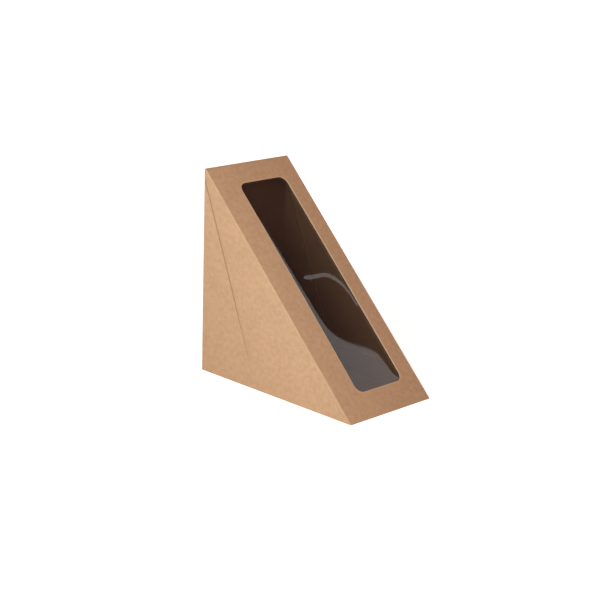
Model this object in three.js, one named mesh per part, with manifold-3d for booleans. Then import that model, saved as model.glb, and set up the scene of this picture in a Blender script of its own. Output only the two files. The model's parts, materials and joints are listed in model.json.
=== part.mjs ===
// Sandwich wedge pack: a folded kraft board wedge with a film window in its slope and a base lid that
// hangs on the fold at the foot of the slope.
// Millimetres, +Z up. The origin is the centre of the base. +X runs along the pack's width, the slope faces
// -Y and up, and the upright back panel faces +Y.
import * as THREE from 'three';
import { ConvexGeometry } from 'three/addons/geometries/ConvexGeometry.js';
import { mergeVertices } from 'three/addons/utils/BufferGeometryUtils.js';
import Module from 'manifold-3d';

const wasm = await Module();
wasm.setup();

// Overall size, to the corners where the panels' faces would meet
const packWidth = 67;
const packDepth = 123;
const packHeight = 123.8;

// Board and its folds
const boardThickness = 0.5;
const foldRadius = 0.6; // outside radius of the long folds
const runningGap = 0.3; // between pieces that touch or slide

// Window aperture in the slope: its margins to the slope panel's edges
const windowLeft = 17.4;
const windowRight = 12.1;
const windowTop = 14.9;
const windowBottom = 15.9;
const windowCornerRadius = 5;
const filmThickness = 0.2;
const filmLap = 8; // the glued margin round the aperture

// Diagonal crease on each side panel, along which the empty pack folds flat
const creaseDrop = 7; // below the apex, where the crease meets the back fold
const creaseTilt = 22; // degrees from upright
const creaseWidth = 0.9;
const creaseDepth = 0.16;
const creaseFoot = 9; // height where the crease dies out

// Glue flaps: a second layer of board inside each side panel, between the back fold and the crease
const glueFlapFoot = 18;
const glueFlapSetback = 2; // from the crease
const glueFlapHeadWidth = 3;

// Base lid
const lidFoldRadius = 0.8;
const tuckHeight = 14;
const tuckLean = 7; // degrees that the tuck flap leans in, so that it clears the back panel as it swings out
const tuckInset = 1.5; // the tuck flap is narrower than the lid by this at each side
const tuckCornerRadius = 6;
const tabHeight = 14.5;
const tabFrontSetback = 8; // from the front edge, along the base
const tabBackSetback = 6; // from the lid's back fold
const tabBackSlant = 3;
const tabCornerRadius = 3;

const arcSteps = 5;
const foldSteps = 4;
const beyond = 10; // how far cutting shapes run past what they cut
const slopeLength = Math.hypot(packDepth, packHeight);
const slopeAngle = Math.atan2(packHeight, packDepth);
const halfWidth = packWidth / 2;
const backFace = packDepth / 2;
const frontEdge = -packDepth / 2;
const lidHalfWidth = halfWidth - boardThickness - runningGap;
const lidBack = backFace - boardThickness - runningGap;

// The lid turns about the middle of its rounded front end, which clears the slope panel's inner face
const hingeHeight = boardThickness / 2;
const hingeToSlope = 1.5 * boardThickness + runningGap;
const hingeY = frontEdge + hingeToSlope / Math.sin(slopeAngle) + hingeHeight / Math.tan(slopeAngle);

// Local frames: columns are where a shape's x, its y and its extrusion run
const acrossPack = new THREE.Matrix4().makeBasis(
  new THREE.Vector3(0, 1, 0), new THREE.Vector3(0, 0, 1), new THREE.Vector3(1, 0, 0));
const alongPack = new THREE.Matrix4().makeBasis(
  new THREE.Vector3(-1, 0, 0), new THREE.Vector3(0, 0, 1), new THREE.Vector3(0, 1, 0));
const onSlope = new THREE.Matrix4().makeBasis(
  new THREE.Vector3(1, 0, 0),
  new THREE.Vector3(0, Math.cos(slopeAngle), Math.sin(slopeAngle)),
  new THREE.Vector3(0, -Math.sin(slopeAngle), Math.cos(slopeAngle)),
).setPosition(0, frontEdge, 0);

function solid(geometry) {
  const bare = geometry.clone();
  bare.deleteAttribute('normal');
  bare.deleteAttribute('uv');
  const merged = mergeVertices(bare, 1e-4);
  return new wasm.Manifold(new wasm.Mesh({
    numProp: 3,
    vertProperties: new Float32Array(merged.attributes.position.array),
    triVerts: new Uint32Array(merged.index.array),
  }));
}

function geometryOf(manifold) {
  const mesh = manifold.getMesh();
  const geometry = new THREE.BufferGeometry();
  geometry.setAttribute('position', new THREE.BufferAttribute(mesh.vertProperties, 3));
  geometry.setIndex(new THREE.BufferAttribute(mesh.triVerts, 1));
  const faceted = geometry.toNonIndexed();
  faceted.computeVertexNormals();
  return faceted;
}

// A flat shape extruded from one level to another in a local frame
function slab(shape, from, to, frame) {
  const geometry = new THREE.ExtrudeGeometry(shape, {
    depth: to - from, bevelEnabled: false, curveSegments: arcSteps,
  });
  geometry.translate(0, 0, from);
  geometry.applyMatrix4(frame);
  return solid(geometry);
}

function block(low, high) {
  const size = new THREE.Vector3().subVectors(high, low);
  const geometry = new THREE.BoxGeometry(size.x, size.y, size.z);
  geometry.translate((low.x + high.x) / 2, (low.y + high.y) / 2, (low.z + high.z) / 2);
  return solid(geometry);
}

// A polygon with chosen corners rounded; each point is [x, y, radius]
function roundedPolygon(points) {
  const shape = new THREE.Shape();
  points.forEach(([x, y, radius = 0], i) => {
    const corner = new THREE.Vector2(x, y);
    const toPrevious = new THREE.Vector2(...points.at(i - 1)).sub(corner);
    const toNext = new THREE.Vector2(...points[(i + 1) % points.length]).sub(corner);
    const turn = Math.abs(toPrevious.angleTo(toNext)) / 2;
    const reach = radius / Math.tan(turn);
    const start = corner.clone().addScaledVector(toPrevious.normalize(), reach);
    const end = corner.clone().addScaledVector(toNext.normalize(), reach);
    if (i === 0) shape.moveTo(start.x, start.y);
    else shape.lineTo(start.x, start.y);
    if (radius > 0) {
      const bisector = toPrevious.clone().add(toNext).normalize();
      const centre = corner.clone().addScaledVector(bisector, radius / Math.sin(turn));
      const from = Math.atan2(start.y - centre.y, start.x - centre.x);
      const to = Math.atan2(end.y - centre.y, end.x - centre.x);
      const sweep = THREE.MathUtils.euclideanModulo(to - from + Math.PI, 2 * Math.PI) - Math.PI;
      shape.absarc(centre.x, centre.y, radius, from, from + sweep, sweep < 0);
    }
  });
  shape.closePath();
  return shape;
}

// The outline of a strip of board that runs straight, bends by a fold and runs straight again. It starts at
// the origin along +x with the board above y = 0, and bends up by the given angle at foldX.
function foldedStrip(foldX, bend, height, outerRadius, roundNose) {
  const reach = outerRadius * Math.tan(bend / 2);
  const innerRadius = outerRadius - boardThickness;
  const centre = new THREE.Vector2(foldX - reach, outerRadius);
  const along = new THREE.Vector2(Math.cos(bend), Math.sin(bend));
  const outward = new THREE.Vector2(Math.sin(bend), -Math.cos(bend));
  const straight = height / Math.sin(bend) - reach;
  const outerTop = centre.clone().addScaledVector(outward, outerRadius).addScaledVector(along, straight);
  const innerTop = centre.clone().addScaledVector(outward, innerRadius).addScaledVector(along, straight);
  const shape = new THREE.Shape();
  shape.moveTo(0, 0);
  shape.absarc(centre.x, centre.y, outerRadius, -Math.PI / 2, bend - Math.PI / 2, false);
  shape.lineTo(outerTop.x, outerTop.y);
  shape.lineTo(innerTop.x, innerTop.y);
  shape.absarc(centre.x, centre.y, innerRadius, bend - Math.PI / 2, -Math.PI / 2, true);
  shape.lineTo(0, boardThickness);
  if (roundNose) shape.absarc(0, boardThickness / 2, boardThickness / 2, Math.PI / 2, Math.PI * 1.5, false);
  shape.closePath();
  return shape;
}

// The wedge whose faces lie `inset` inside the pack's outer faces, with its apex and its side folds rounded.
// It runs on below the base, where it is cut off.
function wedge(inset, radius) {
  const foot = -beyond;
  const roundBack = backFace - inset - radius;
  const roundX = halfWidth - inset - radius;
  const slopeShift = (inset + radius) / Math.cos(slopeAngle); // of the slope's line, straight down
  const slopeHeight = (y) => (y - frontEdge) * Math.tan(slopeAngle) - slopeShift;
  const slopeY = (z) => frontEdge + (z + slopeShift) / Math.tan(slopeAngle);
  const points = [];
  for (const side of [-1, 1]) {
    for (let i = 0; i <= foldSteps; i++) {
      const lift = (i / foldSteps) * Math.PI / 2;
      const x = side * (roundX + radius * Math.sin(lift));
      const around = (y, z, angle) => points.push(new THREE.Vector3(
        x, y + radius * Math.cos(lift) * Math.cos(angle), z + radius * Math.cos(lift) * Math.sin(angle)));
      const slopeNormal = slopeAngle + Math.PI / 2;
      around(roundBack, foot, 0);
      around(slopeY(foot), foot, slopeNormal);
      for (let j = 0; j <= arcSteps; j++) {
        around(roundBack, slopeHeight(roundBack), (j / arcSteps) * slopeNormal);
      }
    }
  }
  return solid(new ConvexGeometry(points));
}

function belowBase() {
  const reach = packWidth + packDepth;
  return block(new THREE.Vector3(-reach, -reach, -2 * beyond), new THREE.Vector3(reach, reach, 0));
}

// A rectangle with round corners in the slope's frame: x across, y up the slope from its front edge
function windowShape(lap, radius) {
  const left = -halfWidth + windowLeft - lap;
  const right = halfWidth - windowRight + lap;
  const bottom = windowBottom - lap;
  const top = slopeLength - windowTop + lap;
  return roundedPolygon([
    [left, bottom, radius], [right, bottom, radius], [right, top, radius], [left, top, radius]]);
}

function creaseY(z) {
  const tilt = THREE.MathUtils.degToRad(creaseTilt);
  return backFace - (packHeight - creaseDrop - z) * Math.tan(tilt);
}

// A shallow V along the crease on one side panel's outer face, which dies out at its foot
function creaseGroove(side) {
  const head = packHeight - creaseDrop + creaseWidth;
  const face = side * halfWidth;
  const proud = side * boardThickness;
  const points = [];
  for (const [z, depth] of [[head, creaseDepth], [creaseFoot, 0]]) {
    points.push(new THREE.Vector3(face - side * depth, creaseY(z), z));
    for (const edge of [-1, 1]) {
      points.push(new THREE.Vector3(face, creaseY(z) + edge * creaseWidth / 2, z));
      points.push(new THREE.Vector3(face + proud, creaseY(z) + edge * creaseWidth / 2, z));
    }
  }
  return solid(new ConvexGeometry(points));
}

// The second layer of board inside one side panel. It is rooted halfway into the side and back panels,
// to which it is glued and folded.
function glueFlap(side) {
  const root = backFace - boardThickness / 2;
  const head = packHeight - creaseDrop
    - (glueFlapHeadWidth + glueFlapSetback) / Math.tan(THREE.MathUtils.degToRad(creaseTilt));
  const footFront = creaseY(glueFlapFoot) + glueFlapSetback;
  const shape = roundedPolygon([
    [root, glueFlapFoot], [root, head], [creaseY(head) + glueFlapSetback, head, 1],
    [footFront, glueFlapFoot, tabCornerRadius]].reverse());
  const inner = halfWidth - 2 * boardThickness;
  const outer = halfWidth - boardThickness / 2;
  return side > 0 ? slab(shape, inner, outer, acrossPack) : slab(shape, -outer, -inner, acrossPack);
}

function cartonSolid() {
  const innerRadius = foldRadius - boardThickness;
  let carton = wedge(0, foldRadius).subtract(wedge(boardThickness, innerRadius));
  carton = carton.subtract(slab(windowShape(0, windowCornerRadius), -beyond / 2, beyond / 2, onSlope));
  for (const side of [-1, 1]) {
    carton = carton.add(glueFlap(side)).subtract(creaseGroove(side));
  }
  return carton.subtract(belowBase());
}

function filmSolid() {
  const outer = -boardThickness - runningGap;
  return slab(windowShape(filmLap, 1), outer - filmThickness, outer, onSlope);
}

// The lid's base panel and tuck flap
function lidPanel() {
  const lean = THREE.MathUtils.degToRad(tuckLean);
  const strip = foldedStrip(lidBack - hingeY, Math.PI / 2 + lean, tuckHeight, lidFoldRadius, true);
  const frame = acrossPack.clone().setPosition(0, hingeY, 0);
  const panel = slab(strip, -lidHalfWidth, lidHalfWidth, frame);
  const tuckEdge = lidHalfWidth - tuckInset;
  const tuckTop = tuckHeight + boardThickness;
  const outside = slab(roundedPolygon([
    [-tuckEdge, -beyond], [tuckEdge, -beyond], [tuckEdge, tuckTop, tuckCornerRadius],
    [-tuckEdge, tuckTop, tuckCornerRadius]]), lidBack - tuckHeight, lidBack + beyond, alongPack);
  const base = block(
    new THREE.Vector3(-packWidth, -packDepth, -beyond),
    new THREE.Vector3(packWidth, lidBack - lidFoldRadius, 2 * boardThickness));
  return panel.intersect(outside.add(base));
}

// One dust tab with its fold to the base panel, before its outline is cut
function tabStrip(side, from, to) {
  const strip = foldedStrip(lidHalfWidth, Math.PI / 2, tabHeight, lidFoldRadius, false);
  const frame = side < 0 ? alongPack : alongPack.clone().premultiply(new THREE.Matrix4().makeRotationZ(Math.PI));
  return side < 0 ? slab(strip, from, to, frame) : slab(strip, -to, -from, frame);
}

function lidTab(side) {
  const front = frontEdge + tabFrontSetback;
  const back = lidBack - tabBackSetback;
  const top = tabHeight;
  const outline = slab(roundedPolygon([
    [front - beyond / Math.tan(slopeAngle), -beyond], [back, -beyond], [back, lidFoldRadius],
    [back - tabBackSlant, top, tabCornerRadius],
    [front + top / Math.tan(slopeAngle), top, tabCornerRadius]]), -packWidth, packWidth, acrossPack);
  return tabStrip(side, front - beyond, back + beyond).intersect(outline);
}

// What is taken off the base panel's edge beside a tab, where the board bends up instead
function tabFoldCut(side) {
  const front = frontEdge + tabFrontSetback;
  const back = lidBack - tabBackSetback;
  const root = lidHalfWidth - lidFoldRadius;
  return block(
    new THREE.Vector3(side > 0 ? root : -packWidth, front, -beyond),
    new THREE.Vector3(side > 0 ? packWidth : -root, back, beyond / 2));
}

function lidSolid() {
  let lid = lidPanel();
  for (const side of [-1, 1]) lid = lid.subtract(tabFoldCut(side)).add(lidTab(side));
  return lid;
}

function piece(name, manifold, material) {
  const mesh = new THREE.Mesh(geometryOf(manifold), material);
  mesh.name = name;
  return mesh;
}

const kraftBoard = new THREE.MeshStandardMaterial({ color: 0xb98a63, roughness: 0.85, metalness: 0 });
const clearFilm = new THREE.MeshStandardMaterial({
  color: 0xe8ecee, roughness: 0.08, metalness: 0, transparent: true, opacity: 0.3,
});

const pack = new THREE.Group();
pack.name = 'sandwich_wedge_pack';
pack.add(
  piece('carton', cartonSolid(), kraftBoard),
  piece('base_lid', lidSolid(), kraftBoard),
  piece('window_film', filmSolid(), clearFilm),
);

export default pack;
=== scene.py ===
"""Looks of the sandwich wedge pack: kraft board panels with their folds and creases, the clear window film,
and the studio. Lengths are metres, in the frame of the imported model: +X across the pack, the window faces -Y
and up, +Z up, and the origin is the centre of the base."""

import json
import math

import bpy
import numpy as np
from mathutils import Matrix, Vector, geometry


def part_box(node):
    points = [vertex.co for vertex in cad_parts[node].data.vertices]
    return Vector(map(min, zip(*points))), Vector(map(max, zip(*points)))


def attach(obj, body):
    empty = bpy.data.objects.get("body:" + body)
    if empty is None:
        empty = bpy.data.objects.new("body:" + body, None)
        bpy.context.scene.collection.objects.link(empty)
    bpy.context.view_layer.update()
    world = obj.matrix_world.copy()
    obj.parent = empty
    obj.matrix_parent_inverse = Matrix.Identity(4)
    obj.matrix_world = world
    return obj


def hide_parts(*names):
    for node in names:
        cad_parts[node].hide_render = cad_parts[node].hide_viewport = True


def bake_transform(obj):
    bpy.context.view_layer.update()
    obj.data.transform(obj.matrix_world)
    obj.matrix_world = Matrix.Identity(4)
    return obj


MM = 0.001

# Board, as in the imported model
BOARD = 0.5 * MM
FOLD_RADIUS = 0.6 * MM
GAP = 0.3 * MM
HEIGHT = 123.8 * MM  # to the corner where the slope and the back panel would meet

# Window aperture: margins to the slope panel's edges
WINDOW_LEFT = 17.4 * MM
WINDOW_RIGHT = 12.1 * MM
WINDOW_TOP = 14.9 * MM
WINDOW_BOTTOM = 15.9 * MM
WINDOW_CORNER = 5 * MM
EDGE_HIGHLIGHT_WIDTH = 0.9 * MM  # width of the painted highlight: a pale band round the aperture, where the board's cut edge would catch the light
FILM_LAP = 8 * MM
FILM_THICKNESS = 0.2 * MM

# Diagonal crease of the side panels
CREASE_DROP = 7 * MM
CREASE_TILT = math.radians(22)
CREASE_FOOT = 9 * MM
CREASE_DEPTH = 0.26 * MM
CREASE_HALF_WIDTH = 0.45 * MM
CREASE_PUSH = 0.35 * MM  # how far the flat-folding crease still leans the side panel

# Glue flaps inside the side panels
FLAP_FOOT = 18 * MM
FLAP_SETBACK = 2 * MM
FLAP_HEAD_WIDTH = 3 * MM

# Base lid
LID_FOLD_RADIUS = 0.8 * MM
TUCK_HEIGHT = 14 * MM
TUCK_LEAN = math.radians(7)
TUCK_INSET = 1.5 * MM
TUCK_CORNER = 6 * MM
TAB_HEIGHT = 14.5 * MM
TAB_FRONT_SETBACK = 8 * MM
TAB_BACK_SETBACK = 6 * MM
TAB_BACK_SLANT = 3 * MM
TAB_CORNER = 3 * MM
TAB_ROOT = 0.3 * MM  # radius where a tab leaves the base

# Panels are not quite flat
SLOPE_BULGE = 0.8 * MM
BACK_BULGE = 0.4 * MM

# Slack in the window film: its slope across the aperture, by distance from the aperture's left edge in mm
FILM_SLOPES = (
    (0, 0.24), (1.5, 0.15), (2, 0.105), (2.8, 0.045), (3.5, 0.025), (4.7, 0.0118), (7.2, 0.0055), (10.5, 0.0009),
    (13.6, -0.0027), (17.3, -0.0055), (25.4, -0.009), (30.6, -0.0145), (32.4, -0.032), (37.5, -0.09))
FILM_WRINKLE = (
    (9, 77.3), (17.5, 77.1), (24, 76.9), (27.8, 75.8), (32.3, 72.2), (35.7, 67), (37.1, 60.4), (37.8, 53))
FILM_WRINKLE_HEIGHT = 0.38 * MM
FILM_WRINKLE_WIDTH = 2.1 * MM

# Mesh density
GRID = 2.2 * MM
FOLD_LINES = (0.0, 0.18, 0.36, 0.58, 0.8, 1.0, 1.6)  # in fold radii from the fold
CREASE_LINES = (0.0, 0.5, 1.0, 1.7, 2.6)  # in crease half widths, to each side

# Board and film colours, linear
KRAFT = (0.575, 0.352, 0.2)
# Painted shade: the inner face is darker than the outside kraft, standing in for the shade inside the closed pack
KRAFT_INSIDE_SHADED = (0.36, 0.179, 0.089)
KRAFT_CUT = (0.66, 0.45, 0.29)
# The film's alpha share is near black. It carries the film's reflection and also dims the pack's inside seen through
# it, which is partly painted shade.
FILM_SHADE_COLOUR = (0.032, 0.022, 0.023)
FILM_ALPHA = 0.3
FILM_IOR = 2.3  # above a real film's, because the alpha takes its share of the reflection too
FILM_ROUGHNESS = 0.03

# The photograph's camera
CAMERA_PLACE = (-0.6233, -0.5960, 0.3051)
CAMERA_AIM = (0.6859, 0.6706, -0.2826)
CAMERA_ROLL = math.radians(1.86)
CAMERA_LENS = 92.97
CAMERA_SENSOR = 36

# Studio light
KEY_PLACE = (-0.33, -0.105, 0.235)
KEY_AIM = (0, 0, 0.05)
KEY_SIZE = (0.25, 0.25)
KEY_POWER = 1.27
KEY_COLOUR = (0.84, 0.98, 1.0)
WORLD_FILL = (0.39, 0.25, 0.21)
FLOOR_REACH = 6.0
FLOOR_DROP = 0.05 * MM
FLOOR_COLOUR = (0.85, 0.85, 0.85)
FLOOR_LIFT = 0.78  # near the pack, where its shadow shows; 1 beyond the fade
FLOOR_FADE = (0.1, 0.45)
FLAG_DISTANCE = 1.0
FLAG_SIDES = (-0.351, 2)  # in flag distances from its middle, as are the ends
FLAG_ENDS = (-0.7, 3)

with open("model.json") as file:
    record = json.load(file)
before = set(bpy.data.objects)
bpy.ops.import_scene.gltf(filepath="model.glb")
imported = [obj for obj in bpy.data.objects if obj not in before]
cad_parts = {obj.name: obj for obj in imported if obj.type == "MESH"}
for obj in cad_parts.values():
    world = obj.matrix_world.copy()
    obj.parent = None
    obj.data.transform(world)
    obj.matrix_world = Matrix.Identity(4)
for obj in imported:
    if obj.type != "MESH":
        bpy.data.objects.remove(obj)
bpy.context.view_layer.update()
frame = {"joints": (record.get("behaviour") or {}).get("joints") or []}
carton_low, carton_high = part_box("carton")
HALF_WIDTH = carton_high.x
BACK_FACE = carton_high.y
FRONT_EDGE = carton_low.y
DEPTH = BACK_FACE - FRONT_EDGE
SLOPE = math.atan2(HEIGHT, DEPTH)
SLOPE_LENGTH = math.hypot(HEIGHT, DEPTH)
lid_low, lid_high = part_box("base_lid")
LID_HALF_WIDTH = lid_high.x
LID_BACK = BACK_FACE - BOARD - GAP
LID_NOSE = lid_low.y
HINGE = Vector(frame["joints"][0]["pos_m"])


# Flat outlines

def arc(centre, radius, start, end, steps=8):
    angles = np.linspace(start, end, steps + 1)
    return [(centre[0] + radius * math.cos(a), centre[1] + radius * math.sin(a)) for a in angles]


def rounded_outline(corners, steps=8):
    """A polygon whose corners are (x, y, radius)."""
    outline = []
    for i, (x, y, radius) in enumerate(corners):
        here = Vector((x, y))
        if radius == 0:
            outline.append((x, y))
            continue
        before = (Vector(corners[i - 1][:2]) - here).normalized()
        after = (Vector(corners[(i + 1) % len(corners)][:2]) - here).normalized()
        turn = before.angle(after) / 2
        centre = here + (before + after).normalized() * radius / math.sin(turn)
        first = here + before * radius / math.tan(turn) - centre
        last = here + after * radius / math.tan(turn) - centre
        start = math.atan2(first.y, first.x)
        sweep = (math.atan2(last.y, last.x) - start + math.pi) % (2 * math.pi) - math.pi
        outline += arc(centre, radius, start, start + sweep, steps)
    return outline


def spaced(a, b, step):
    """Points from a to b, both included, about a step apart."""
    a, b = np.array(a, float), np.array(b, float)
    count = max(1, round(float(np.linalg.norm(b - a)) / step))
    return [tuple(a + (b - a) * i / count) for i in range(count + 1)]


def densified(outline, step):
    points = []
    for a, b in zip(outline, outline[1:] + outline[:1]):
        points += spaced(a, b, step)[:-1]
    return points


def inside(points, outline):
    """Which of the points lie in a closed outline."""
    x, y = points[:, 0], points[:, 1]
    result = np.zeros(len(points), bool)
    for (x0, y0), (x1, y1) in zip(outline, outline[1:] + outline[:1]):
        crosses = (y0 > y) != (y1 > y)
        with np.errstate(divide="ignore", invalid="ignore"):
            result ^= crosses & (x < (x1 - x0) * (y - y0) / (y1 - y0) + x0)
    return result


def sheet_mesh(outline, holes=(), lines=(), step=GRID):
    """Triangles of a flat sheet: its outline, its holes, the lines that its mesh follows, and an even grid."""
    loops = [densified(list(outline), step)] + [densified(list(h), step) for h in holes]
    points, edges = [], []
    for loop in loops:
        base = len(points)
        points += loop
        edges += [(base + i, base + (i + 1) % len(loop)) for i in range(len(loop))]
    for line in lines:
        base = len(points)
        row = spaced(line[0], line[1], step)
        points += row
        edges += [(base + i, base + i + 1) for i in range(len(row) - 1)]
    low, high = np.min(loops[0], axis=0), np.max(loops[0], axis=0)
    rise = step * math.sqrt(3) / 2
    grid = [
        (low[0] + (column + 0.5 * (row % 2)) * step, low[1] + row * rise)
        for row in range(int((high[1] - low[1]) / rise) + 1)
        for column in range(int((high[0] - low[0]) / step) + 1)
    ]
    fixed = np.array(points)
    clear = [
        g for g in grid
        if np.min(np.hypot(fixed[:, 0] - g[0], fixed[:, 1] - g[1])) > 0.55 * step
    ]
    clear = [g for g, ok in zip(clear, inside(np.array(clear), loops[0])) if ok]
    flat = [Vector(p) for p in points + clear]
    vertices, _, faces, *_ = geometry.delaunay_2d_cdt(flat, edges, [], 0, 1e-7)
    vertices = np.array([tuple(v) for v in vertices])
    faces = np.array([tuple(f) for f in faces])
    middle = vertices[faces].mean(axis=1)
    keep = inside(middle, loops[0])
    for hole in loops[1:]:
        keep &= ~inside(middle, hole)
    used, faces = np.unique(faces[keep], return_inverse=True)
    return vertices[used], faces.reshape(-1, 3)


# The wedge's form

def round_folds(points):
    """Moves points of the sharp wedge onto the wedge with rounded folds."""
    core_x = HALF_WIDTH - FOLD_RADIUS
    x, y, z = points.T
    near_x = np.clip(x, -core_x, core_x)
    over_back = y - (BACK_FACE - FOLD_RADIUS)
    over_slope = z * math.cos(SLOPE) - (y - FRONT_EDGE) * math.sin(SLOPE) + FOLD_RADIUS
    lean = math.sin(SLOPE)
    corner_y = BACK_FACE - FOLD_RADIUS
    corner_z = ((corner_y - FRONT_EDGE) * math.sin(SLOPE) - FOLD_RADIUS) / math.cos(SLOPE)
    within = (over_back <= 0) & (over_slope <= 0)
    by_back = (over_back > 0) & (over_slope + lean * over_back <= 0)
    by_slope = (over_slope > 0) & (over_back + lean * over_slope <= 0)
    cases = [within, by_back, by_slope]
    near_y = np.select(cases, [y, np.full(len(y), corner_y), y + over_slope * lean], corner_y)
    near_z = np.select(cases, [z, z, z - over_slope * math.cos(SLOPE)], corner_z)
    core = np.stack([near_x, near_y, near_z], axis=1)
    out = points - core
    return core + out * (FOLD_RADIUS / np.linalg.norm(out, axis=1))[:, None]


def crease_y(z):
    return BACK_FACE - (HEIGHT - CREASE_DROP - z) * math.tan(CREASE_TILT)


def from_crease(y, z):
    """Distance in front of the side panels' crease, across it."""
    return (crease_y(z) - y) * math.cos(CREASE_TILT)


def smooth(value, low, high):
    t = np.clip((value - low) / (high - low), 0, 1)
    return t * t * (3 - 2 * t)


def crease_strength(z):
    """1 along the crease, fading out above its foot."""
    return smooth(z, CREASE_FOOT, 60 * MM) * 0.65 + smooth(z, CREASE_FOOT, 20 * MM) * 0.35


def side_inward(y, z):
    """How far a point of a side panel lies inside the flat panel."""
    across = from_crease(y, z)
    strength = crease_strength(z)
    groove = CREASE_DEPTH * np.exp(-((across / CREASE_HALF_WIDTH) ** 2))
    lip = 0.25 * CREASE_DEPTH * np.exp(-(((across - 2.4 * CREASE_HALF_WIDTH) / CREASE_HALF_WIDTH) ** 2))
    to_back = BACK_FACE - y
    to_slope = ((y - FRONT_EDGE) * math.sin(SLOPE) - z * math.cos(SLOPE))
    behind = np.maximum(-across, 0) + 1e-9
    ahead = np.maximum(across, 0) + 1e-9
    tent = np.where(across < 0, to_back / (to_back + behind), to_slope / (to_slope + ahead))
    tent = np.clip(tent, 0, 1) ** 1.5
    push = CREASE_PUSH * tent * smooth(z, 4 * MM, 70 * MM) * smooth(HEIGHT - CREASE_DROP - z, 0, 12 * MM)
    return strength * (groove - lip) + push


def slope_outward(x, along):
    """How far the slope panel bulges; along is the distance up the slope from its front edge."""
    across = 1 - (x / HALF_WIDTH) ** 2
    ends = np.sin(np.clip(along / SLOPE_LENGTH, 0, 1) * math.pi) ** 0.7
    return SLOPE_BULGE * across * ends


def back_outward(x, z):
    return BACK_BULGE * (1 - (x / HALF_WIDTH) ** 2) * np.sin(np.clip(z / HEIGHT, 0, 1) * math.pi) ** 0.8


def slope_point(x, along, lift=0.0):
    """A point of the slope's plane, lifted outward from it."""
    y = FRONT_EDGE + along * math.cos(SLOPE) - lift * math.sin(SLOPE)
    z = along * math.sin(SLOPE) + lift * math.cos(SLOPE)
    return np.stack([x, y, z], axis=1)


def window_outline(lap=0.0, radius=WINDOW_CORNER, steps=10):
    left, right = -HALF_WIDTH + WINDOW_LEFT - lap, HALF_WIDTH - WINDOW_RIGHT + lap
    bottom, top = WINDOW_BOTTOM - lap, SLOPE_LENGTH - WINDOW_TOP + lap
    corners = [(left, bottom, radius), (right, bottom, radius), (right, top, radius), (left, top, radius)]
    return rounded_outline(corners, steps)


# Panels of the carton: each gives its faces, its points in space and its place in the flat pattern

def fold_lines(a, b, inward):
    """Lines beside the fold from a to b, towards the inside of the panel."""
    direction = np.array(inward) * FOLD_RADIUS
    return [(np.array(a) + direction * k, np.array(b) + direction * k) for k in FOLD_LINES[1:]]


def slope_panel():
    outline = [(-HALF_WIDTH, 0), (HALF_WIDTH, 0), (HALF_WIDTH, SLOPE_LENGTH), (-HALF_WIDTH, SLOPE_LENGTH)]
    lines = fold_lines((-HALF_WIDTH, 0), (-HALF_WIDTH, SLOPE_LENGTH), (1, 0))
    lines += fold_lines((HALF_WIDTH, 0), (HALF_WIDTH, SLOPE_LENGTH), (-1, 0))
    lines += fold_lines((-HALF_WIDTH, SLOPE_LENGTH), (HALF_WIDTH, SLOPE_LENGTH), (0, -1))
    margin = densified(window_outline(EDGE_HIGHLIGHT_WIDTH, WINDOW_CORNER + EDGE_HIGHLIGHT_WIDTH), GRID)
    lines += list(zip(margin, margin[1:] + margin[:1]))
    flat, faces = sheet_mesh(outline, [window_outline()], lines)
    return faces, slope_point(flat[:, 0], flat[:, 1]), flat


def back_panel():
    outline = [(-HALF_WIDTH, 0), (HALF_WIDTH, 0), (HALF_WIDTH, HEIGHT), (-HALF_WIDTH, HEIGHT)]
    lines = fold_lines((-HALF_WIDTH, 0), (-HALF_WIDTH, HEIGHT), (1, 0))
    lines += fold_lines((HALF_WIDTH, 0), (HALF_WIDTH, HEIGHT), (-1, 0))
    lines += fold_lines((-HALF_WIDTH, HEIGHT), (HALF_WIDTH, HEIGHT), (0, -1))
    flat, faces = sheet_mesh(outline, [], lines)
    points = np.stack([flat[:, 0], np.full(len(flat), BACK_FACE), flat[:, 1]], axis=1)
    return faces[:, ::-1], points, flat + np.array([0.2, 0])


def side_panel(side):
    outline = [(FRONT_EDGE, 0), (BACK_FACE, 0), (BACK_FACE, HEIGHT)]
    lines = fold_lines((BACK_FACE, 0), (BACK_FACE, HEIGHT), (-1, 0))
    slope_inward = (math.sin(SLOPE), -math.cos(SLOPE))
    lines += fold_lines((FRONT_EDGE, 0), (BACK_FACE, HEIGHT), slope_inward)
    head = HEIGHT - CREASE_DROP
    across = np.array([-math.cos(CREASE_TILT), math.sin(CREASE_TILT)])
    for k in CREASE_LINES:
        for turn in ((1,) if k == 0 else (-1, 1)):
            shift = across * k * turn * CREASE_HALF_WIDTH
            run = np.array([-math.tan(CREASE_TILT), -1.0])
            start = np.array([BACK_FACE, head]) + shift + run * 3 * MM
            end = np.array([BACK_FACE, head]) + shift + run * (head - 2 * MM)
            lines.append((start, end))
    flat, faces = sheet_mesh(outline, [], lines)
    points = np.stack([np.full(len(flat), side * HALF_WIDTH), flat[:, 0], flat[:, 1]], axis=1)
    return faces if side > 0 else faces[:, ::-1], points, flat + np.array([0.4 + 0.2 * side, 0])


def vertex_normals(points, faces):
    a, b, c = (points[faces[:, i]] for i in range(3))
    across = np.cross(b - a, c - a)
    normals = np.zeros_like(points)
    for i in range(3):
        np.add.at(normals, faces[:, i], across)
    return normals / np.linalg.norm(normals, axis=1)[:, None]


def on_base(points):
    """Slides the points that lie under the base up along the slope."""
    under = np.minimum(points[:, 2], 0)
    raised = points.copy()
    raised[:, 1] -= under / math.tan(SLOPE)
    raised[:, 2] -= under
    return raised


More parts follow.
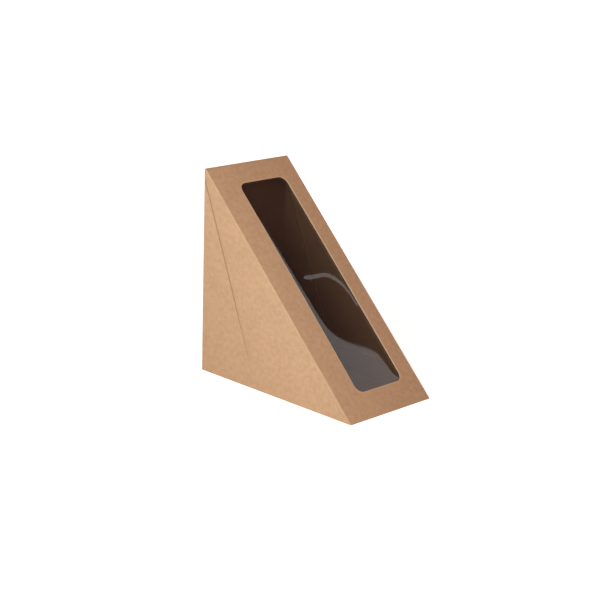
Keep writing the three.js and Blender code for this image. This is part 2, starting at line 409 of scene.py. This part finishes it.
def sheet_object(name, points, faces, pattern, thickness, materials, layers=None):
    """A sheet with its outer face, its inner face and its cut edge, which take the three materials. The pattern
    is each face corner's place on the flat sheet, kept in the UV layer that the board's material reads."""
    count = len(points)
    skins = np.concatenate([on_base(points), on_base(points - thickness * vertex_normals(points, faces))])
    corners = pattern.reshape(-1, 3, 2)
    directed = np.concatenate([faces[:, [0, 1]], faces[:, [1, 2]], faces[:, [2, 0]]])
    places = np.concatenate([corners[:, [0, 1]], corners[:, [1, 2]], corners[:, [2, 0]]])
    codes = directed[:, 0] * count + directed[:, 1]
    border = ~np.isin(codes, directed[:, 1] * count + directed[:, 0])
    start, end = directed[border].T
    rim = np.stack([end, start, start + count, end + count], axis=1)
    rim_places = places[border][:, [1, 0, 0, 1]]
    rim_places[:, 2:] += thickness
    polygons = faces.tolist() + (faces[:, ::-1] + count).tolist() + rim.tolist()
    uv = np.concatenate([corners.reshape(-1, 2), corners[:, ::-1].reshape(-1, 2), rim_places.reshape(-1, 2)])
    mesh = bpy.data.meshes.new(name)
    mesh.from_pydata(skins.tolist(), [], polygons)
    mesh.uv_layers.new(name="flat").data.foreach_set("uv", uv.astype(np.float32).ravel())
    for made in materials:
        mesh.materials.append(made)
    indices = np.repeat([0, 1, 2], [len(faces), len(faces), len(rim)])
    mesh.polygons.foreach_set("material_index", indices.astype(np.int32))
    mesh.polygons.foreach_set("use_smooth", [True] * len(polygons))
    mesh.set_sharp_from_angle(angle=math.radians(50))
    for layer_name, values in (layers or {}).items():
        layer = mesh.attributes.new(layer_name, "FLOAT", "POINT")
        layer.data.foreach_set("value", np.concatenate([values, np.zeros(count)]).astype(np.float32))
    mesh.update()
    piece = bpy.data.objects.new(name, mesh)
    bpy.context.scene.collection.objects.link(piece)
    return piece


def merged(points, faces, flat_corners):
    """Joins vertices that lie on each other, such as those of two panels along their fold."""
    keys = np.round(points / (0.01 * MM)).astype(np.int64)
    _, first, inverse = np.unique(keys, axis=0, return_index=True, return_inverse=True)
    faces = inverse.reshape(-1)[faces]
    sound = (faces[:, 0] != faces[:, 1]) & (faces[:, 1] != faces[:, 2]) & (faces[:, 0] != faces[:, 2])
    return points[first], faces[sound], flat_corners[sound]


def make_carton():
    points, faces, corners = [], [], []
    total = 0
    for panel_faces, panel_points, pattern in (slope_panel(), back_panel(), side_panel(-1), side_panel(1)):
        points.append(panel_points)
        faces.append(panel_faces + total)
        corners.append(pattern[panel_faces])
        total += len(panel_points)
    sharp = np.concatenate(points)
    sharp, faces, corners = merged(sharp, np.concatenate(faces), np.concatenate(corners))
    x, y, z = sharp.T
    placed = round_folds(sharp)
    off_slope = (y - FRONT_EDGE) * math.sin(SLOPE) - z * math.cos(SLOPE)
    on_side = np.abs(np.abs(x) - HALF_WIDTH) < 0.01 * MM
    on_slope = np.abs(off_slope) < 0.01 * MM
    on_back = np.abs(y - BACK_FACE) < 0.01 * MM
    inner = on_side & ~on_slope & ~on_back
    placed[inner, 0] -= (np.sign(x) * side_inward(y, z))[inner]
    lift = np.where(on_slope & ~on_side, slope_outward(x, z / math.sin(SLOPE)), 0)
    placed[:, 1] -= lift * math.sin(SLOPE)
    placed[:, 2] += lift * math.cos(SLOPE)
    placed[:, 1] += np.where(on_back & ~on_side & ~on_slope, back_outward(x, z), 0)
    # Painted shade: the side panels' crease is darkened along its groove, 1 on the crease line
    crease = np.where(on_side, crease_strength(z) * np.exp(-((from_crease(y, z) / CREASE_HALF_WIDTH) ** 2)), 0)
    crease = np.where(z > HEIGHT - CREASE_DROP, 0, crease)
    to_side = HALF_WIDTH - np.abs(x)
    to_fold = np.minimum(np.abs(off_slope) + to_side, BACK_FACE - y + to_side)
    to_fold = np.minimum(to_fold, np.abs(off_slope) + BACK_FACE - y)
    fold = np.exp(-((to_fold / FOLD_RADIUS) ** 2))
    along = z / math.sin(SLOPE)
    width, length = 2 * HALF_WIDTH - WINDOW_LEFT - WINDOW_RIGHT, SLOPE_LENGTH - WINDOW_TOP - WINDOW_BOTTOM
    off_middle = np.stack([np.abs(x - (WINDOW_LEFT - WINDOW_RIGHT) / 2) - width / 2 + WINDOW_CORNER,
                           np.abs(along - WINDOW_BOTTOM - length / 2) - length / 2 + WINDOW_CORNER], axis=1)
    to_edge = np.hypot(*np.maximum(off_middle, 0).T) + np.minimum(off_middle.max(axis=1), 0) - WINDOW_CORNER
    # Painted highlight: a pale band round the aperture, 1 at its edge and fading over the band's width
    edge = np.where(on_slope & ~on_back, np.clip(1 - to_edge / EDGE_HIGHLIGHT_WIDTH, 0, 1), 0)
    piece = sheet_object("carton_board", placed, faces, corners, BOARD, (kraft_outside, kraft_inside_shaded, kraft_cut),
                         {"crease": crease, "fold": fold, "edge": edge})
    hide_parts("carton")
    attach(piece, "carton")


def make_glue_flap(side):
    """The back panel's flap, glued inside a side panel behind the crease."""
    root = BACK_FACE - BOARD
    head = HEIGHT - CREASE_DROP - (FLAP_HEAD_WIDTH + FLAP_SETBACK) / math.tan(CREASE_TILT)
    outline = rounded_outline([
        (crease_y(FLAP_FOOT) + FLAP_SETBACK, FLAP_FOOT, TAB_CORNER), (root, FLAP_FOOT, 0), (root, head, 0),
        (crease_y(head) + FLAP_SETBACK, head, 1 * MM)])
    flat, faces = sheet_mesh(outline, step=3 * MM)
    y, z = flat.T
    points = np.stack([side * (HALF_WIDTH - BOARD - side_inward(y, z)), y, z], axis=1)
    name = "glue_flap_right" if side > 0 else "glue_flap_left"
    facing = faces if side > 0 else faces[:, ::-1]
    piece = sheet_object(name, points, facing, (flat + np.array([0.9, 0]))[facing], BOARD,
                         (kraft_outside, kraft_inside_shaded, kraft_inside_shaded))
    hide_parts("carton")
    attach(piece, "carton")


# Base lid: a flat cut that bends up at the tabs and the tuck flap

def bend(distance, radius, angle):
    """Along and above, for a strip that bends by an angle on a radius to its underside, from distance 0 on."""
    arc_length = radius * angle
    turned = np.clip(distance, 0, arc_length) / radius
    past = np.maximum(distance - arc_length, 0)
    along = np.minimum(distance, 0) + radius * np.sin(turned) + past * math.cos(angle)
    above = radius * (1 - np.cos(turned)) + past * math.sin(angle)
    return along, above


def make_lid():
    tab_fold = LID_HALF_WIDTH - LID_FOLD_RADIUS
    tuck_angle = math.pi / 2 + TUCK_LEAN
    tuck_reach = LID_FOLD_RADIUS * math.tan(tuck_angle / 2)
    tuck_fold = LID_BACK - tuck_reach
    tab_flat = tab_fold + LID_FOLD_RADIUS * math.pi / 2 + TAB_HEIGHT - LID_FOLD_RADIUS
    tuck_flat = tuck_fold + LID_FOLD_RADIUS * tuck_angle + TUCK_HEIGHT / math.cos(TUCK_LEAN) - tuck_reach
    front = FRONT_EDGE + TAB_FRONT_SETBACK
    back = LID_BACK - TAB_BACK_SETBACK
    lean = TAB_HEIGHT / math.tan(SLOPE)
    tuck_edge = LID_HALF_WIDTH - TUCK_INSET
    half = [
        (LID_HALF_WIDTH, LID_NOSE, 0), (LID_HALF_WIDTH, front, TAB_ROOT),
        (tab_flat, front + lean, TAB_CORNER), (tab_flat, back - TAB_BACK_SLANT, TAB_CORNER),
        (LID_HALF_WIDTH, back, TAB_ROOT), (LID_HALF_WIDTH, tuck_fold, 1 * MM),
        (tuck_edge, tuck_fold + LID_FOLD_RADIUS, 0), (tuck_edge, tuck_flat, TUCK_CORNER)]
    corners = half + [(-x, y, r) for x, y, r in reversed(half)]
    lines = []
    for k in (0, 0.4, 0.8, 1.2, 1.6):
        shift = k * LID_FOLD_RADIUS
        for side in (-1, 1):
            lines.append(((side * (tab_fold + shift), front + shift), (side * (tab_fold + shift), back)))
        lines.append(((-tuck_edge, tuck_fold + shift), (tuck_edge, tuck_fold + shift)))
    flat, faces = sheet_mesh(rounded_outline(corners), lines=lines, step=2.5 * MM)
    u, v = flat.T
    on_tab = (v > front - 1e-6) & (v < back + 1e-6) & (np.abs(u) > tab_fold)
    side_along, side_above = bend(np.abs(u) - tab_fold, LID_FOLD_RADIUS, math.pi / 2)
    x = np.where(on_tab, np.sign(u) * (tab_fold + side_along), u)
    back_along, back_above = bend(v - tuck_fold, LID_FOLD_RADIUS, tuck_angle)
    y = tuck_fold + back_along
    z = np.where(on_tab, side_above, back_above)
    placed, facing = np.stack([x, y, z], axis=1), faces[:, ::-1]
    piece = sheet_object("lid_board", placed, facing, (flat + np.array([1.2, 0]))[facing], BOARD,
                         (kraft_outside, kraft_inside_shaded, kraft_cut))
    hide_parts("base_lid")
    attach(piece, "lid")


def make_hinge_score():
    """The skin of board that runs on from the slope panel's foot to the lid, under the fold."""
    start, end = FRONT_EDGE + 0.5 * MM, HINGE.y + 1.6 * MM
    rows = np.linspace(start, end, 14)
    columns = np.linspace(-LID_HALF_WIDTH, LID_HALF_WIDTH, 30)
    grid_x, grid_y = np.meshgrid(columns, rows)
    points = np.stack([grid_x.ravel(), grid_y.ravel(), np.full(grid_x.size, 0.02 * MM)], axis=1)
    wide = len(columns)
    first = np.array([r * wide + c for r in range(len(rows) - 1) for c in range(wide - 1)])
    faces = np.concatenate([
        np.stack([first, first + wide, first + wide + 1], axis=1),
        np.stack([first, first + wide + 1, first + 1], axis=1)])
    piece = sheet_object("hinge_score", points, faces, (points[:, :2] + 1.2)[faces], 0.12 * MM,
                         (kraft_outside, kraft_inside_shaded, kraft_cut))
    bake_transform(piece)


# Window film

def film_lift(x, along):
    """How far the film stands out: it is glued all round, slack in the aperture and creased in one place."""
    across = x + HALF_WIDTH - WINDOW_LEFT
    up = along - WINDOW_BOTTOM
    width = 2 * HALF_WIDTH - WINDOW_LEFT - WINDOW_RIGHT
    length = SLOPE_LENGTH - WINDOW_TOP - WINDOW_BOTTOM
    places = np.linspace(0, width, 200)
    known, slopes = zip(*FILM_SLOPES)
    rise = np.interp(places, np.array(known) * MM, slopes)
    heights = np.concatenate([[0], np.cumsum((rise[1:] + rise[:-1]) / 2 * np.diff(places))])
    heights -= heights[-1] * places / width
    lift = np.interp(across, places, heights)
    lift *= 1 - np.exp(-np.clip(up, 0, length) / (1.2 * MM))
    lift *= 1 - np.exp(-np.clip(length - up, 0, length) / (1.2 * MM))
    line = np.array(FILM_WRINKLE) * MM
    here = np.stack([across, up], axis=1)
    nearest = np.full(len(here), np.inf)
    for a, b in zip(line, line[1:]):
        part = np.clip((here - a) @ (b - a) / ((b - a) @ (b - a)), 0, 1)
        nearest = np.minimum(nearest, np.linalg.norm(here - a - part[:, None] * (b - a), axis=1))
    inside_aperture = (across > 0) & (across < width)
    wrinkle = FILM_WRINKLE_HEIGHT * smooth(across, 5 * MM, 15 * MM) * np.exp(-((nearest / FILM_WRINKLE_WIDTH) ** 2))
    return lift + np.where(inside_aperture, wrinkle, 0)


def make_film():
    outline = window_outline(FILM_LAP, 1 * MM, 4)
    flat, faces = sheet_mesh(outline, step=0.9 * MM)
    x, along = flat.T
    left, right = -HALF_WIDTH + WINDOW_LEFT, HALF_WIDTH - WINDOW_RIGHT
    share = np.clip((x - left) / (right - left), 0, 1)
    chord = slope_outward(left, along) * (1 - share) + slope_outward(right, along) * share
    board = np.where((x > left) & (x < right), chord, slope_outward(x, along))
    depth = BOARD + GAP - board - film_lift(x, along)
    points = slope_point(flat[:, 0], flat[:, 1], -depth)
    piece = sheet_object("film", points, faces, flat[faces], FILM_THICKNESS, (film_clear,) * 3)
    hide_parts("window_film")
    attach(piece, "carton")


# Materials

def material(name):
    made = bpy.data.materials.new(name)
    made.use_nodes = True
    return made, made.node_tree.nodes, made.node_tree.links


def set_inputs(node, **values):
    for name, value in values.items():
        node.inputs[name.replace("_", " ")].default_value = value


def math_node(nodes, links, operation, first, second):
    node = nodes.new("ShaderNodeMath")
    node.operation = operation
    for socket, value in zip(node.inputs, (first, second)):
        if isinstance(value, (int, float)):
            socket.default_value = value
        else:
            links.new(value, socket)
    return node.outputs["Value"]


def noise(nodes, links, vector, scale, detail=2.0, roughness=0.5):
    node = nodes.new("ShaderNodeTexNoise")
    set_inputs(node, Scale=scale, Detail=detail, Roughness=roughness)
    links.new(vector, node.inputs["Vector"])
    return node.outputs["Fac"]


def turned(nodes, links, vector, angle, scale):
    """The pattern's coordinates, turned and then stretched, for streaks that lie one way."""
    turn = nodes.new("ShaderNodeMapping")
    turn.vector_type = "POINT"
    turn.inputs["Rotation"].default_value = (0, 0, math.radians(angle))
    links.new(vector, turn.inputs["Vector"])
    stretch = nodes.new("ShaderNodeMapping")
    stretch.inputs["Scale"].default_value = (*scale, 1)
    links.new(turn.outputs["Vector"], stretch.inputs["Vector"])
    return stretch.outputs["Vector"]


def ramp(nodes, links, value, low, high):
    """0 below low, 1 above high."""
    node = nodes.new("ShaderNodeMapRange")
    node.clamp = True
    set_inputs(node, From_Min=low, From_Max=high)
    links.new(value, node.inputs["Value"])
    return node.outputs["Result"]


def tinted(nodes, links, colour, amount, target):
    """Mixes a colour towards another by an amount that varies over the surface."""
    node = nodes.new("ShaderNodeMix")
    node.data_type = "RGBA"
    links.new(amount, node.inputs["Factor"])
    if isinstance(colour, tuple):
        node.inputs["A"].default_value = (*colour, 1)
    else:
        links.new(colour, node.inputs["A"])
    node.inputs["B"].default_value = (*target, 1)
    return node.outputs["Result"]


def scaled(colour, factor):
    """A colour times one factor, or times one for each channel."""
    factors = factor if isinstance(factor, tuple) else (factor,) * 3
    return tuple(min(1.0, c * f) for c, f in zip(colour, factors))


def kraft_board(name, colour, fibre_contrast=1.0, bump=1.0):
    """Unbleached board: cloudy brown, crossed by pale and dark fibres and a few bark flecks."""
    made, nodes, links = material(name)
    shader = nodes["Principled BSDF"]
    set_inputs(shader, Roughness=0.8, IOR=1.45)
    pattern = nodes.new("ShaderNodeUVMap")
    pattern.uv_map = "flat"
    flat = pattern.outputs["UV"]
    cloud = noise(nodes, links, flat, 70, 3)
    grain = noise(nodes, links, flat, 1300, 2)
    coarse = noise(nodes, links, flat, 420, 3, 0.6)
    pale = [
        ramp(nodes, links, noise(nodes, links, turned(nodes, links, flat, a, (620, 6200)), 1.0, 1), 0.6, 0.76)
        for a in (8, 52, 117)]
    dark = [
        ramp(nodes, links, noise(nodes, links, turned(nodes, links, flat, a, (900, 7200)), 1.0, 1), 0.64, 0.8)
        for a in (-20, 31, 84)]
    flecks = ramp(nodes, links, noise(nodes, links, turned(nodes, links, flat, 15, (1500, 2600)), 1.0, 0), 0.76, 0.82)
    light = math_node(nodes, links, "MAXIMUM", math_node(nodes, links, "MAXIMUM", pale[0], pale[1]), pale[2])
    deep = math_node(nodes, links, "MAXIMUM", math_node(nodes, links, "MAXIMUM", dark[0], dark[1]), dark[2])
    tone = tinted(nodes, links, scaled(colour, 0.955), ramp(nodes, links, cloud, 0.3, 0.7), scaled(colour, 1.045))
    mottle = noise(nodes, links, flat, 350, 2, 0.55)
    marks = {}
    for layer in ("crease", "fold", "edge"):
        node = nodes.new("ShaderNodeAttribute")
        node.attribute_name = layer
        marks[layer] = node.outputs["Fac"]
    for amount, strength, factor in (
            (ramp(nodes, links, mottle, 0.5, 0.25), 0.6 * fibre_contrast, (0.86, 0.8, 0.73)),
            (ramp(nodes, links, mottle, 0.5, 0.75), 0.6 * fibre_contrast, (1.13, 1.19, 1.28)),
            (ramp(nodes, links, grain, 0.45, 0.75), 0.30 * fibre_contrast, 0.72),
            (ramp(nodes, links, coarse, 0.5, 0.8), 0.22 * fibre_contrast, 1.28),
            (light, 0.28 * fibre_contrast, 1.4),
            (deep, 0.30 * fibre_contrast, 0.6),
            (flecks, 0.5 * fibre_contrast, 0.42),
            # painted shade along the crease's groove
            (marks["crease"], 0.9, (0.58, 0.47, 0.38)),
            (marks["fold"], 0.2, 1.2),
            # painted highlight round the aperture
            (marks["edge"], 0.7, (1.3, 1.4, 1.55))):
        amount = math_node(nodes, links, "MULTIPLY", amount, strength)
        tone = tinted(nodes, links, tone, amount, scaled(colour, factor))
    links.new(tone, shader.inputs["Base Color"])
    relief = math_node(nodes, links, "ADD", math_node(nodes, links, "MULTIPLY", light, 0.5), grain)
    relief = math_node(nodes, links, "SUBTRACT", relief, math_node(nodes, links, "MULTIPLY", deep, 0.3))
    bumps = nodes.new("ShaderNodeBump")
    set_inputs(bumps, Strength=0.35 * bump, Distance=0.05 * MM)
    links.new(relief, bumps.inputs["Height"])
    links.new(bumps.outputs["Normal"], shader.inputs["Normal"])
    rough = nodes.new("ShaderNodeMapRange")
    set_inputs(rough, To_Min=0.72, To_Max=0.88)
    links.new(coarse, rough.inputs["Value"])
    links.new(rough.outputs["Result"], shader.inputs["Roughness"])
    return made


def clear_film(name):
    made, nodes, _ = material(name)
    shader = nodes["Principled BSDF"]
    set_inputs(shader, Roughness=FILM_ROUGHNESS, IOR=FILM_IOR, Alpha=FILM_ALPHA)
    shader.inputs["Base Color"].default_value = (*FILM_SHADE_COLOUR, 1)
    return made


# Studio

def plain_floor():
    mesh = bpy.data.meshes.new("floor")
    corners = [(x * FLOOR_REACH, y * FLOOR_REACH, 0) for x, y in ((-1, -1), (1, -1), (1, 1), (-1, 1))]
    mesh.from_pydata(corners, [], [(0, 1, 2, 3)])
    floor = bpy.data.objects.new("floor", mesh)
    floor.location.z = -FLOOR_DROP
    bpy.context.scene.collection.objects.link(floor)
    made, nodes, links = material("floor_white")
    nodes.remove(nodes["Principled BSDF"])
    diffuse = nodes.new("ShaderNodeBsdfDiffuse")
    diffuse.inputs["Color"].default_value = (*FLOOR_COLOUR, 1)
    place = nodes.new("ShaderNodeTexCoord")
    distance = nodes.new("ShaderNodeVectorMath")
    distance.operation = "LENGTH"
    links.new(place.outputs["Object"], distance.inputs[0])
    fade = nodes.new("ShaderNodeMapRange")
    fade.interpolation_type = "SMOOTHSTEP"
    set_inputs(fade, From_Min=FLOOR_FADE[0], From_Max=FLOOR_FADE[1], To_Min=FLOOR_LIFT, To_Max=1.0)
    links.new(distance.outputs["Value"], fade.inputs["Value"])
    glow = nodes.new("ShaderNodeEmission")
    light_path = nodes.new("ShaderNodeLightPath")
    lift = math_node(nodes, links, "MULTIPLY", light_path.outputs["Is Camera Ray"], fade.outputs["Result"])
    links.new(lift, glow.inputs["Strength"])
    add = nodes.new("ShaderNodeAddShader")
    links.new(diffuse.outputs["BSDF"], add.inputs[0])
    links.new(glow.outputs["Emission"], add.inputs[1])
    links.new(add.outputs["Shader"], nodes["Material Output"].inputs["Surface"])
    mesh.materials.append(made)


def studio_world():
    world = bpy.data.worlds.new("studio")
    bpy.context.scene.world = world
    world.use_nodes = True
    nodes, links = world.node_tree.nodes, world.node_tree.links
    background = nodes["Background"]
    path = nodes.new("ShaderNodeLightPath")
    seen = math_node(nodes, links, "ADD", path.outputs["Is Camera Ray"], path.outputs["Is Glossy Ray"])
    seen = math_node(nodes, links, "ADD", seen, path.outputs["Is Transmission Ray"])
    seen = math_node(nodes, links, "MINIMUM", seen, 1.0)
    links.new(tinted(nodes, links, WORLD_FILL, seen, (1, 1, 1)), background.inputs["Color"])


def area_lamp(name, place, aim, size, power, colour):
    lamp = bpy.data.lights.new(name, "AREA")
    lamp.shape = "RECTANGLE"
    lamp.size, lamp.size_y = size
    lamp.energy = power
    lamp.color = colour
    thing = bpy.data.objects.new(name, lamp)
    thing.location = place
    thing.rotation_euler = (Vector(aim) - Vector(place)).to_track_quat("-Z", "Y").to_euler()
    bpy.context.scene.collection.objects.link(thing)


def reflection_flag():
    """A black card up and to the right that only glossy rays see: the film mirrors it, the board hardly."""
    out, up = Vector((1, 0, 1)).normalized(), Vector((-1, 0, 1)).normalized()
    side = Vector((0, 1, 0))
    middle = out * FLAG_DISTANCE
    corners = [tuple(middle + (side * FLAG_SIDES[a] + up * FLAG_ENDS[b]) * FLAG_DISTANCE)
               for a, b in ((0, 0), (1, 0), (1, 1), (0, 1))]
    mesh = bpy.data.meshes.new("flag")
    mesh.from_pydata(corners, [], [(0, 1, 2, 3)])
    flag = bpy.data.objects.new("flag", mesh)
    bpy.context.scene.collection.objects.link(flag)
    made, nodes, _ = material("flag_black")
    set_inputs(nodes["Principled BSDF"], Roughness=1.0)
    nodes["Principled BSDF"].inputs["Base Color"].default_value = (0, 0, 0, 1)
    nodes["Principled BSDF"].inputs["Specular IOR Level"].default_value = 0
    mesh.materials.append(made)
    flag.visible_camera = flag.visible_diffuse = flag.visible_shadow = flag.visible_transmission = False


def photo_camera():
    camera = bpy.data.objects.new("camera", bpy.data.cameras.new("camera"))
    camera.data.lens = CAMERA_LENS
    camera.data.sensor_width = CAMERA_SENSOR
    aim = Vector(CAMERA_AIM).normalized()
    level = aim.cross(Vector((0, 0, 1))).normalized()
    right = Matrix.Rotation(-CAMERA_ROLL, 3, aim) @ level
    up = right.cross(aim)
    turn = Matrix((right, up, -aim)).transposed()
    camera.matrix_world = Matrix.Translation(CAMERA_PLACE) @ turn.to_4x4()
    camera.data.clip_start, camera.data.clip_end = 0.01, 50
    bpy.context.scene.collection.objects.link(camera)
    bpy.context.scene.camera = camera


kraft_outside = kraft_board("kraft_outside", KRAFT)
# inner faces, darkened as painted shade
kraft_inside_shaded = kraft_board("kraft_inside_shaded", KRAFT_INSIDE_SHADED, 0.8)
kraft_cut = kraft_board("kraft_cut", KRAFT_CUT, 1.2)
film_clear = clear_film("film_clear")

make_carton()
for flap_side in (-1, 1):
    make_glue_flap(flap_side)
make_lid()
make_hinge_score()
make_film()

plain_floor()
studio_world()
area_lamp("key", KEY_PLACE, KEY_AIM, KEY_SIZE, KEY_POWER, KEY_COLOUR)
reflection_flag()
photo_camera()
bpy.context.scene.view_settings.view_transform = "Standard"
